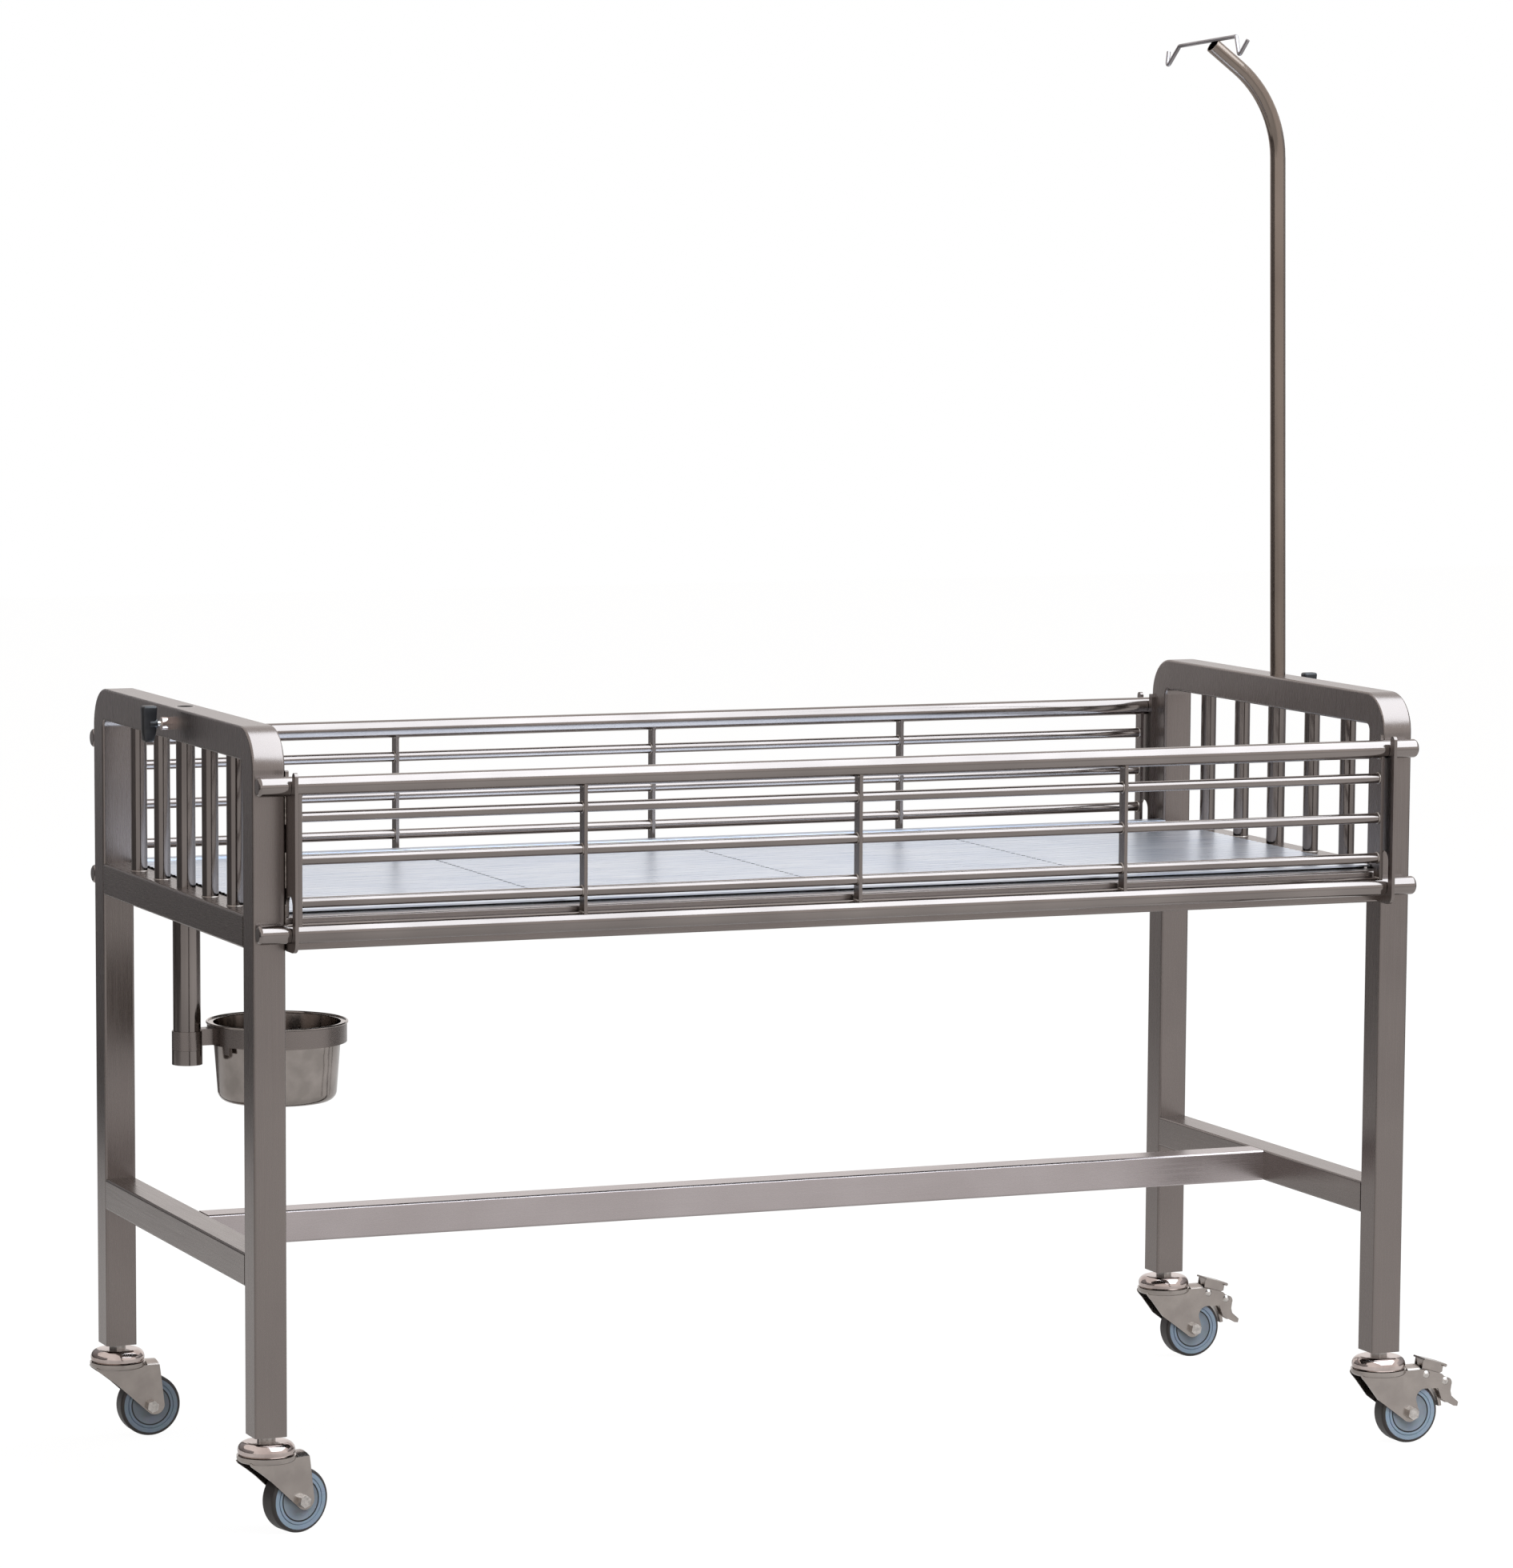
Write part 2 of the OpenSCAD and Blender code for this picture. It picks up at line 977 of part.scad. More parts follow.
module plain_fork(i) {
    color("silver")
        at_caster(i)
            difference() {
                union() {
                    translate([0, 0, crown_z])
                        rotate_extrude()
                            crown_section();
                    intersection() {
                        union() {
                            fork_sheet(33, 60, crown_z + 2, 5);
                            cheeks(crown_z + 2);
                        }
                        sideways()
                            plain_outline();
                    }
                }
                translate([0, 0, crown_z - 1])
                    cylinder(r = hat_r - sheet, h = hat_h - 1);
                translate([0, 0, crown_z + 2])
                    difference() {
                        cylinder(r = cup_r - 2, h = 5.1);
                        translate([0, 0, -1])
                            cylinder(r = hat_r, h = 8);
                        translate([0, 0, -1])
                            cylinder(r = cup_r - 1, h = 2.8);
                    }
                rod_y(trail, -30, 30, axle_z, axle_r + wall_gap);
            }
}

module brake_fork(i) {
    color("silver")
        at_caster(i)
            difference() {
                union() {
                    translate([0, 0, crown_z])
                        rotate_extrude()
                            crown_section();
                    intersection() {
                        union() {
                            fork_sheet(33, 52, crown_z + 3.5, 5);
                            cheeks(crown_z + 4);
                        }
                        sideways()
                            brake_outline();
                    }
                }
                translate([0, 0, crown_z - 1])
                    cylinder(r = hat_r - sheet, h = hat_h - 1);
                translate([0, 0, crown_z + 2])
                    difference() {
                        cylinder(r = cup_r - 2, h = 5.1);
                        translate([0, 0, -1])
                            cylinder(r = hat_r, h = 8);
                        translate([0, 0, -1])
                            cylinder(r = cup_r - 1, h = 2.8);
                    }
                rod_y(trail, -30, 30, axle_z, axle_r + wall_gap);
                for (p = [rivet_1, rivet_2])
                    rod_y(p[0], -30, 30, p[1], rivet_r + wall_gap);
            }
}

module axle_set() {
    color("gainsboro") {
        // bolt with its head on the outer side
        rod_y(trail, -fork_half, fork_half + 8, axle_z, axle_r);
        translate([trail, -fork_half, axle_z])
            rotate([90, 0, 0])
                rotate([0, 0, 20])
                    cylinder(d = 15, h = head_h, $fn = 6);
    }
    color("gray")
        difference() {
            translate([trail, fork_half, axle_z])
                rotate([-90, 0, 0])
                    cylinder(d = 15, h = 6.5, $fn = 6);
            rod_y(trail, 0, 40, axle_z, axle_r + wall_gap);
        }
    // sleeve the wheel turns on
    color("gray")
        difference() {
            rod_y(trail, sheet - fork_half, fork_half - sheet, axle_z,
                sleeve_r);
            rod_y(trail, -30, 30, axle_z, axle_r + wall_gap);
        }
}

module rivet(p) {
    color("gainsboro") {
        rod_y(p[0], -fork_half, fork_half, p[1], rivet_r);
        for (s = [-1, 1])
            intersection() {
                translate([p[0], s * (fork_half - 3), p[1]])
                    sphere(r = 5.6);
                translate([p[0] - 6, s > 0 ? fork_half : -fork_half - 6,
                    p[1] - 6])
                    cube([12, 6, 12]);
            }
    }
}

module wheel_hub(i) {
    w = wheel_w / 2;
    color("lightslategray")
        at_caster(i)
            translate([trail, 0, axle_z])
                rotate([90, 0, 0])
                    rotate_extrude($fn = 96)
                        difference() {
                            translate([sleeve_r + wall_gap, -w])
                                square([hub_r - sleeve_r - 2 * wall_gap,
                                    wheel_w]);
                            for (s = [-1, 1])
                                translate([16, s * (w + 20.8)])
                                    circle(r = 22, $fn = 96);
                        }
}

module tyre(i) {
    w = wheel_w / 2;
    r = wheel_d / 2;
    e = 4;
    color("darkslategray")
        at_caster(i)
            translate([trail, 0, axle_z])
                rotate([90, 0, 0])
                    rotate_extrude($fn = 96)
                        difference() {
                            union() {
                                translate([hub_r, -w])
                                    square([r - e - hub_r, wheel_w]);
                                translate([hub_r, e - w])
                                    square([r - hub_r, wheel_w - 2 * e]);
                                for (s = [-1, 1])
                                    translate([r - e, s * (w - e)])
                                        circle(r = e);
                            }
                            for (s = [-1, 1])
                                translate([hub_r, s * w])
                                    circle(r = 1.2, $fn = 24);
                        }
}

// Brake parts

module arc_strip(r0, r1, a0, a1) {
    // part of a ring between two angles less than 90 degrees apart
    difference() {
        circle(r = r1, $fn = 96);
        circle(r = r0, $fn = 96);
        rotate([0, 0, a0 - 180])
            translate([-100, 0])
                square([200, 100]);
        rotate([0, 0, a1])
            translate([-100, 0])
                square([200, 100]);
    }
}

module slab(y0, y1) {
    translate([0, y1, 0])
        rotate([90, 0, 0])
            linear_extrude(height = y1 - y0)
                children();
}

module pedal_side() {
    difference() {
        union() {
            polygon([
                [56.5, 101.9],
                [53.5, 84],
                [55.5, 79.6],
                [60.5, 78],
                [66, 73.6],
                [71, 68.4],
                [74.5, 72],
                [72.5, 80],
                [82.5, 84.5],
                [84, 93.9]
            ]);
            translate(rivet_1)
                circle(r = 5);
        }
        translate(rivet_1)
            circle(r = rivet_r + wall_gap);
        translate([trail, axle_z])
            circle(r = shoe_r, $fn = 96);
    }
}

module brake_pedal(i) {
    tread_w = 28;
    tread_l = 30.5;
    color("silver")
        at_caster(i) {
            for (s = [-1, 1])
                slab(s * 9 - 1, s * 9 + 1)
                    pedal_side();
            // tread plate with a rolled edge
            translate([56, -tread_w / 2, 103])
                rotate([0, 16, 0]) {
                    translate([0, 0, -2.2])
                        cube([tread_l, tread_w, 2.2]);
                    translate([tread_l, 0, -2])
                        rotate([-90, 0, 0])
                            cylinder(r = 2, h = tread_w);
                }
            // web joining the two sides, above the pivot rivet
            translate([56.5, -9, 89])
                cube([2, 18, 12.5]);
        }
}

module brake_shoe(i) {
    color("#222224")
        at_caster(i)
            slab(-8, 8)
                translate([trail, axle_z])
                    arc_strip(shoe_r, shoe_r + 4, 6, 52);
}

module lever_side() {
    difference() {
        union() {
            translate(rivet_2)
                circle(r = 5);
            polygon([
                [79.4, 73],
                [88.8, 72],
                [89.6, 62],
                [93.2, 55.4],
                [104, 46],
                [103, 41],
                [98, 41.6],
                [85.4, 48.4],
                [83, 54]
            ]);
        }
        translate(rivet_2)
            circle(r = rivet_r + wall_gap);
    }
}

module release_lever(i) {
    color("silver")
        at_caster(i)
            intersection() {
                union() {
                    for (s = [-1, 1])
                        slab(s * 11.6 - 0.8, s * 11.6 + 0.8)
                            lever_side();
                    slab(-11, 11) {
                        polygon([
                            [93.2, 55.4],
                            [103.2, 46.6],
                            [101, 43.8],
                            [91, 52.8]
                        ]);
                        translate([lever_tip - 2.3, 44.4])
                            circle(r = 2.3);
                    }
                }
                translate([0, -20, 0])
                    cube([lever_tip, 40, 100]);
            }
}

// Named pieces of each caster

module front_left_fork() {
    plain_fork(0);
}

module rear_left_fork() {
    plain_fork(1);
}

module front_right_fork() {
    brake_fork(2);
}

module rear_right_fork() {
    brake_fork(3);
}

module front_left_axle() {
    at_caster(0)
        axle_set();
}

module rear_left_axle() {
    at_caster(1)
        axle_set();
}

module front_right_axle() {
    at_caster(2) {
        axle_set();
        rivet(rivet_1);
        rivet(rivet_2);
    }
}

module rear_right_axle() {
    at_caster(3) {
        axle_set();
        rivet(rivet_1);
        rivet(rivet_2);
    }
}

module front_left_hub() {
    wheel_hub(0);
}

module rear_left_hub() {
    wheel_hub(1);
}

module front_right_hub() {
    wheel_hub(2);
}

module rear_right_hub() {
    wheel_hub(3);
}

module front_left_tyre() {
    tyre(0);
}

module rear_left_tyre() {
    tyre(1);
}

module front_right_tyre() {
    tyre(2);
}

module rear_right_tyre() {
    tyre(3);
}

module front_brake_pedal() {
    brake_pedal(2);
}

module rear_brake_pedal() {
    brake_pedal(3);
}

module front_brake_shoe() {
    brake_shoe(2);
}

module rear_brake_shoe() {
    brake_shoe(3);
}

module front_release_lever() {
    release_lever(2);
}

module rear_release_lever() {
    release_lever(3);
}

translate([-box_mid, -y_mid, 0]) {
    left_arch();
    right_arch();
    front_left_leg();
    rear_left_leg();
    front_right_leg();
    rear_right_leg();
    end_rails();
    bed_side_rails();
    stretcher();
    end_spindles();
    pole_sockets();
    leg_inserts();
    deck_bearers();
    deck_panels();
    deck_edge_strips();
    guard_brackets();
    front_guard_tubes();
    front_guard_bars();
    front_guard_uprights();
    rear_guard_tubes();
    rear_guard_bars();
    rear_guard_uprights();
    drip_pole();
    pole_foot();
    hook_rod();
    clamp_bosses();
    left_knob();
    left_knob_screw();
    right_knob();
    right_knob_screw();
    bowl_post();
    bowl_post_stop();
    bowl_bracket();
    bowl();
    caster_stems();
    caster_nuts();
    swivel_domes();
    swivel_balls();
    front_left_fork();
    rear_left_fork();
    front_right_fork();
    rear_right_fork();
    front_left_axle();
    rear_left_axle();
    front_right_axle();
    rear_right_axle();
    front_left_hub();
    rear_left_hub();
    front_right_hub();
    rear_right_hub();
    front_left_tyre();
    rear_left_tyre();
    front_right_tyre();
    rear_right_tyre();
    front_brake_pedal();
    rear_brake_pedal();
    front_brake_shoe();
    rear_brake_shoe();
    front_release_lever();
    rear_release_lever();
}
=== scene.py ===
import math

import bmesh
import bpy
from mathutils import Matrix, Vector


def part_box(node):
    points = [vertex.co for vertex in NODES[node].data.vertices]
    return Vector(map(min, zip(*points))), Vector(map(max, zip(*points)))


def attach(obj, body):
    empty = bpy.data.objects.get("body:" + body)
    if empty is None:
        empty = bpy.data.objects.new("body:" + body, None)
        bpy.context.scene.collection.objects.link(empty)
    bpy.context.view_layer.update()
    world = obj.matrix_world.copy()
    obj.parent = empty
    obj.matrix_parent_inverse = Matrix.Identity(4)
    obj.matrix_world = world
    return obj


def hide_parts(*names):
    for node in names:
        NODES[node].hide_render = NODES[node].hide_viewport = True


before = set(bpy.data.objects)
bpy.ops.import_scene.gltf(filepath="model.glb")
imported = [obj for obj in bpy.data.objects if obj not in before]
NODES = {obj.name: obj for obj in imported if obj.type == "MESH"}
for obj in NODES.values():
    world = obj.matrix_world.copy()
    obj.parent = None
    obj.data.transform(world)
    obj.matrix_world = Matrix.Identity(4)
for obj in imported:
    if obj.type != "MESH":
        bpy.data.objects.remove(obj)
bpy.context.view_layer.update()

bl_info = {
    "name": "Veterinary patient trolley",
    "version": (1, 0, 0),
    "blender": (4, 5, 0),
    "location": "3D View > Sidebar > Trolley",
    "description": "Finishes, welds, knobs and studio for a stainless patient trolley",
    "category": "Object",
}

MM = 0.001
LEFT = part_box("left_arch")[0].x
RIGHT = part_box("right_arch")[1].x
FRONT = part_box("left_arch")[0].y
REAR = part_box("left_arch")[1].y

# Sizes in mm that the welds follow, as the solids have them
LENGTH = round((RIGHT - LEFT) / MM)
WIDTH = round((REAR - FRONT) / MM)
TUBE = 38
SPINDLE_STEP = 93
GUARD_TUBE_R = 11
GUARD_BAR_STEP = 47.7
GUARD_FLAT_STEP = 338

# The photograph's camera: place in m, turn in degrees, lens and sensor in mm
CAMERA_PLACE = (-2.774607, -6.600303, 1.499251)
CAMERA_TURN = (83.07385, -0.26800, -22.08754)
CAMERA_LENS = 137.70
CAMERA_SENSOR = 36
CAMERA_SHIFT = (0.0365, 0.0889)


def at(x, y, z):
    """A place x mm from the left end and y mm from the front side, at a height of z metres."""
    return Vector((LEFT + x * MM, FRONT + y * MM, z))


def middle(node):
    low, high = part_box(node)
    return (low + high) / 2


# Colours and material nodes


def linear(code):
    """sRGB hex to the linear colour that a shader socket takes."""
    out = []
    for i in (1, 3, 5):
        c = int(code[i:i + 2], 16) / 255
        out.append(c / 12.92 if c <= 0.04045 else ((c + 0.055) / 1.055) ** 2.4)
    return (*out, 1.0)


def add(mat, kind, values=(), links=(), **settings):
    """One node in a material or world, with its settings, socket values and incoming links."""
    n = mat.node_tree.nodes.new(kind)
    for key, value in settings.items():
        setattr(n, key, value)
    for socket, value in dict(values).items():
        n.inputs[socket].default_value = value
    for socket, source in dict(links).items():
        mat.node_tree.links.new(source, n.inputs[socket])
    return n


def new_material(name):
    mat = bpy.data.materials.new(name)
    mat.use_nodes = True
    mat.node_tree.nodes.clear()
    return mat


def finish_material(mat, values, links):
    shader = add(mat, "ShaderNodeBsdfPrincipled", values, links)
    add(mat, "ShaderNodeOutputMaterial", links={"Surface": shader.outputs[0]})
    return mat


def ramp(mat, source, stops):
    n = add(mat, "ShaderNodeValToRGB", links={"Fac": source})
    while len(n.color_ramp.elements) > len(stops):
        n.color_ramp.elements.remove(n.color_ramp.elements[-1])
    while len(n.color_ramp.elements) < len(stops):
        n.color_ramp.elements.new(1.0)
    for e, (place, code) in zip(n.color_ramp.elements, stops):
        e.position = place
        e.color = linear(code)
    return n.outputs["Color"]


def ground_steel(name, dark, light, rough, along, line=1.3, depth=0.015, top=None, share=0.2):
    """Stainless steel ground with a belt: fine lines along the piece, satin, faintly cloudy.

    Real 180 grit lines lie 0.1 mm apart; they are drawn line mm apart, 1.3 to 3, so that they show. What
    lies below the height top is painted dark: painted shade in the gaps and recesses under the top faces.
    The share is how much of the tone the lines make, and the clouds make the rest.
    """
    # The last colour is painted shade, near black, for what lies below the height top.
    line_length, cloud_size, recess_shade = 90 * MM, 160 * MM, "#1b1817"
    mat = new_material(name)
    scale = [1 / (line * MM)] * 3
    scale["XYZ".index(along)] = 1 / line_length
    where = add(mat, "ShaderNodeTexCoord").outputs["Object"]
    lines = add(mat, "ShaderNodeMapping", {"Scale": scale}, {"Vector": where})
    grit = add(mat, "ShaderNodeTexNoise", {"Scale": 1.0, "Detail": 3.0, "Roughness": 0.6},
               {"Vector": lines.outputs[0]})
    cloud = add(mat, "ShaderNodeTexNoise", {"Scale": 1 / cloud_size, "Detail": 3.0}, {"Vector": where})
    both = add(mat, "ShaderNodeMath", {1: share}, {0: grit.outputs["Fac"]}, operation="MULTIPLY")
    tone = add(mat, "ShaderNodeMath", {1: 1 - share}, {0: cloud.outputs["Fac"], 2: both.outputs[0]},
               operation="MULTIPLY_ADD")
    colour = ramp(mat, tone.outputs[0], [(0.25, dark), (0.75, light)])
    # Painted shade: below the height top the colour turns near black, as shade in gaps and recesses.
    if top is not None:
        height = add(mat, "ShaderNodeSeparateXYZ", {}, {"Vector": where})
        recess_shade_mask = add(mat, "ShaderNodeMapRange", {"From Min": top - 0.6 * MM, "From Max": top - 0.1 * MM},
                   {"Value": height.outputs["Z"]})
        colour = add(mat, "ShaderNodeMix", {"A": linear(recess_shade)}, {"Factor": recess_shade_mask.outputs[0], "B": colour},
                     data_type="RGBA").outputs["Result"]
    gloss = add(mat, "ShaderNodeMapRange", {"From Min": 0.3, "From Max": 0.7, "To Min": rough - 0.03,
                "To Max": rough + 0.04}, {"Value": grit.outputs["Fac"]})
    bump = add(mat, "ShaderNodeBump", {"Strength": depth, "Distance": 0.0003},
               {"Height": grit.outputs["Fac"]})
    return finish_material(mat, {"Metallic": 1.0}, {
        "Base Color": colour, "Roughness": gloss.outputs[0], "Normal": bump.outputs[0]})


def polished_steel(name, dark, light, rough):
    """Drawn stainless steel buffed bright: with a faint haze of buffing swirls 3 mm wide."""
    mat = new_material(name)
    where = add(mat, "ShaderNodeTexCoord").outputs["Object"]
    haze = add(mat, "ShaderNodeTexNoise", {"Scale": 1 / (25 * MM), "Detail": 4.0}, {"Vector": where})
    swirl = add(mat, "ShaderNodeTexNoise", {"Scale": 1 / (3 * MM), "Detail": 2.0}, {"Vector": where})
    colour = ramp(mat, haze.outputs["Fac"], [(0.35, dark), (0.65, light)])
    gloss = add(mat, "ShaderNodeMapRange", {"From Min": 0.3, "From Max": 0.7, "To Min": rough,
                "To Max": rough + 0.06}, {"Value": haze.outputs["Fac"]})
    bump = add(mat, "ShaderNodeBump", {"Strength": 0.03, "Distance": 0.0002},
               {"Height": swirl.outputs["Fac"]})
    return finish_material(mat, {"Metallic": 1.0}, {
        "Base Color": colour, "Roughness": gloss.outputs[0], "Normal": bump.outputs[0]})


def zinc_plate(name, dark, light):
    """Bright zinc plated steel of bolts, nuts and screws: pale, slightly mottled by the bath.

    Weld metal, mottled by its cooling, is made the same way.
    """
    mat = new_material(name)
    where = add(mat, "ShaderNodeTexCoord").outputs["Object"]
    spots = add(mat, "ShaderNodeTexNoise", {"Scale": 1 / (4 * MM), "Detail": 3.0}, {"Vector": where})
    colour = ramp(mat, spots.outputs["Fac"], [(0.35, dark), (0.65, light)])
    bump = add(mat, "ShaderNodeBump", {"Strength": 0.08, "Distance": 0.0002},
               {"Height": spots.outputs["Fac"]})
    return finish_material(mat, {"Metallic": 1.0, "Roughness": 0.3}, {
        "Base Color": colour, "Normal": bump.outputs[0]})


def moulded_plastic(name, dark, light, rough):
    """Injection moulded nylon: dull, with the fine spark-eroded grain of the mould."""
    mat = new_material(name)
    where = add(mat, "ShaderNodeTexCoord").outputs["Object"]
    pits = add(mat, "ShaderNodeTexNoise", {"Scale": 1 / (0.8 * MM), "Detail": 2.0}, {"Vector": where})
    wash = add(mat, "ShaderNodeTexNoise", {"Scale": 1 / (20 * MM), "Detail": 2.0}, {"Vector": where})
    colour = ramp(mat, wash.outputs["Fac"], [(0.35, dark), (0.65, light)])
    bump = add(mat, "ShaderNodeBump", {"Strength": 0.25, "Distance": 0.0003}, {"Height": pits.outputs["Fac"]})
    return finish_material(mat, {"Roughness": rough}, {"Base Color": colour, "Normal": bump.outputs[0]})


def wheel_rings(name, centre, rings):
    """Moulded wheel: tones in rings by the distance in mm from its centre, with dust and fine pits."""
    mat = new_material(name)
    where = add(mat, "ShaderNodeTexCoord").outputs["Object"]
    own = add(mat, "ShaderNodeMapping", {"Location": -centre}, {"Vector": where})
    far = add(mat, "ShaderNodeVectorMath", {}, {0: own.outputs[0]}, operation="LENGTH")
    dust = add(mat, "ShaderNodeTexNoise", {"Scale": 1 / (9 * MM), "Detail": 4.0}, {"Vector": where})
    pits = add(mat, "ShaderNodeTexNoise", {"Scale": 1 / (1.0 * MM), "Detail": 2.0}, {"Vector": where})
    low, high = 20 * MM, 40 * MM
    part = add(mat, "ShaderNodeMapRange", {"From Min": low, "From Max": high},
               {"Value": far.outputs["Value"]})
    colour = ramp(mat, part.outputs[0], [((r * MM - low) / (high - low), code) for r, code in rings])
    patchy = add(mat, "ShaderNodeMix", {"Factor": 0.18}, {"A": colour, "B": dust.outputs["Color"]},
                 data_type="RGBA", blend_type="SOFT_LIGHT")
    bump = add(mat, "ShaderNodeBump", {"Strength": 0.3, "Distance": 0.0003}, {"Height": pits.outputs["Fac"]})
    return finish_material(mat, {"Roughness": 0.45}, {"Base Color": patchy.outputs["Result"],
                           "Normal": bump.outputs[0]})


def dress(material, *nodes):
    """Gives CAD nodes a material and rounded shading; edges sharper than 30 degrees stay sharp."""
    for name in nodes:
        o = NODES[name]
        o.data.materials.clear()
        o.data.materials.append(material)
        for p in o.data.polygons:
            p.use_smooth = True
            p.material_index = 0
        weld = o.modifiers.new("weld", "WELD")
        weld.merge_threshold = 1e-6
        split = o.modifiers.new("edges", "EDGE_SPLIT")
        split.split_angle = math.radians(30)
        flat = o.modifiers.new("flat faces", "WEIGHTED_NORMAL")
        flat.weight = 100


# Modelling helpers


def clear_selection():
    if bpy.context.object and bpy.context.object.mode != "OBJECT":
        bpy.ops.object.mode_set(mode="OBJECT")
    bpy.ops.object.select_all(action="DESELECT")


def pick(test):
    """In edit mode, selects the vertices whose place passes the test, and nothing else."""
    mesh = bmesh.from_edit_mesh(bpy.context.object.data)
    for part in (mesh.faces, mesh.edges, mesh.verts):
        for e in part:
            e.select = False
    mesh.select_mode = {"VERT"}
    for v in mesh.verts:
        if test(v.co):
            v.select_set(True)
    mesh.select_flush_mode()
    bmesh.update_edit_mesh(bpy.context.object.data)


def settle(name, material, smooth):
    """Leaves the piece in hand in object mode, its place in its mesh, its faces outwards, with a finish."""
    o = bpy.context.object
    bpy.ops.object.mode_set(mode="EDIT")
    bpy.ops.mesh.select_all(action="SELECT")
    bpy.ops.mesh.remove_doubles(threshold=1e-6)
    bpy.ops.mesh.normals_make_consistent(inside=False)
    bpy.ops.object.mode_set(mode="OBJECT")
    bpy.ops.object.transform_apply(location=True, rotation=True, scale=True)
    bpy.ops.object.shade_smooth_by_angle(angle=math.radians(smooth))
    o.name = o.data.name = name
    o.data.materials.clear()
    o.data.materials.append(material)
    return o


def stamp(master, place):
    """A copy of a piece with its own mesh, moved by a matrix."""
    o = master.copy()
    o.data = master.data.copy()
    o.data.transform(place)
    bpy.context.collection.objects.link(o)
    return o


def turned(axis):
    """Rotation that takes Z to an axis."""
    return Vector(axis).to_track_quat("Z", "Y").to_matrix().to_4x4()


def gather(copies, name, body):
    """Joins copies into one piece that rides on a body."""
    clear_selection()
    for o in copies:
        o.select_set(True)
    bpy.context.view_layer.objects.active = copies[0]
    bpy.ops.object.join()
    o = bpy.context.object
    o.name = o.data.name = name
    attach(o, body)
    return o


# User settings


def hex_setting(name, code, description):
    """A colour setting, kept as an sRGB hex code."""
    return bpy.props.StringProperty(name=name, description=description, default=code)


class TrolleyFinishes(bpy.types.PropertyGroup):
    frame_dark: hex_setting("Frame, dark", "#7c7471", "Darker tone of the ground tube")
    frame_light: hex_setting("Frame, light", "#88807c", "Lighter tone of the ground tube")
    round_dark: hex_setting("Round tube, dark", "#77706d", "Darker tone of the round tube")
    round_light: hex_setting("Round tube, light", "#918985", "Lighter tone of the round tube")
    stretcher_dark: hex_setting("Stretcher, dark", "#a59c9b", "Darker tone of the stretcher")
    stretcher_light: hex_setting("Stretcher, light", "#bbb3b3", "Lighter tone of the stretcher")
    deck_dark: hex_setting("Deck, dark", "#b8c8e0", "Darker tone of the deck sheet")
    deck_light: hex_setting("Deck, light", "#fafdff", "Lighter tone of the deck sheet")
    wheel_side: hex_setting("Wheel side", "#9aa9b8", "Colour of the tyre sides")
    wheel_centre: hex_setting("Wheel centre", "#8d959e", "Colour of the wheel centres")
    # The tread's colour is painted shade: the tread is drawn darker than the same rubber on the sides.
    wheel_tread: hex_setting("Tread", "#332d2b", "Colour of the worn tread")
    roughness: bpy.props.FloatProperty(name="Satin", description="Roughness of the ground tube",
                                       default=0.27, min=0.1, max=0.6, subtype="FACTOR")


class TrolleyStudio(bpy.types.PropertyGroup):
    floor: hex_setting("Floor", "#b8afa9", "Colour of the studio floor")
    card_low: hex_setting("Card, low", "#7b7572", "Colour of the cards near the floor")
    card_high: hex_setting("Card, high", "#c6bfbc", "Colour of the cards at bed height")
    key: bpy.props.FloatProperty(name="Key light", description="Strength of the lamp above the trolley",
                                 default=260.0, min=0.0, unit="POWER")
    sky: bpy.props.FloatProperty(name="Room", description="Level of the light from all round", default=0.3,
                                 min=0.0)


class TROLLEY_OT_frame_finish(bpy.types.Operator):
    """Ground or mill polished steel on the frame, guards and pole"""

    bl_idname = "trolley.frame_finish"
    bl_label = "Frame finish"

    def execute(self, context):
        f = context.scene.trolley_finishes
        lengths = {
            "X": ["bed_side_rails"],
            "Y": ["end_rails", "deck_bearers", "bowl_bracket"],
            "Z": ["left_arch", "right_arch", "front_left_leg", "rear_left_leg", "front_right_leg",
                  "rear_right_leg", "leg_inserts", "guard_brackets", "front_guard_uprights",
                  "rear_guard_uprights"],
        }
        for along, names in lengths.items():
            dress(ground_steel("belt_ground_stainless_" + along.lower(), f.frame_dark, f.frame_light,
                               f.roughness, along), *names)
        # Round tube and bar comes polished from the mill: smoother than the square tube, with more contrast
        mill = {"rough": f.roughness - 0.14, "line": 2.5, "depth": 0.01}
        for along, names in (("X", ["front_guard_tubes", "rear_guard_tubes", "front_guard_bars",
                                    "rear_guard_bars"]),
                             ("Z", ["end_spindles", "pole_sockets", "bowl_post", "bowl_post_stop"])):
            dress(ground_steel("mill_polished_stainless_" + along.lower(), f.round_dark, f.round_light,
                               along=along, **mill), *names)
        # The drip pole is browner in the photograph than the other round tube
        dress(ground_steel("mill_polished_stainless_pole", "#796e66", "#8f837a", along="Z", **mill),
              "drip_pole")
        # The stretcher is paler in the photograph than the rest of the square tube
        dress(ground_steel("finely_ground_stainless", f.stretcher_dark, f.stretcher_light, f.roughness, "X"),
              "stretcher")
        return {"FINISHED"}


class TROLLEY_OT_deck_finish(bpy.types.Operator):
    """Brushed sheet on the deck slats and their edge strips"""

    bl_idname = "trolley.deck_finish"
    bl_label = "Deck finish"

    def execute(self, context):
        f = context.scene.trolley_finishes
        # Brushed sheet: bright, with long fine lines along the slats
        brushed = {"rough": 0.3, "along": "X", "line": 3.0, "depth": 0.1, "share": 0.75}
        # The sheet is painted near black below the slats' top: painted shade in the gaps between the slats
        # and under them.
        dress(ground_steel("brushed_stainless_sheet", f.deck_dark, f.deck_light,
                           top=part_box("deck_panels")[1].z, **brushed), "deck_panels")
        dress(ground_steel("brushed_stainless_strip", f.deck_dark, f.deck_light, **brushed),
              "deck_edge_strips")
        return {"FINISHED"}


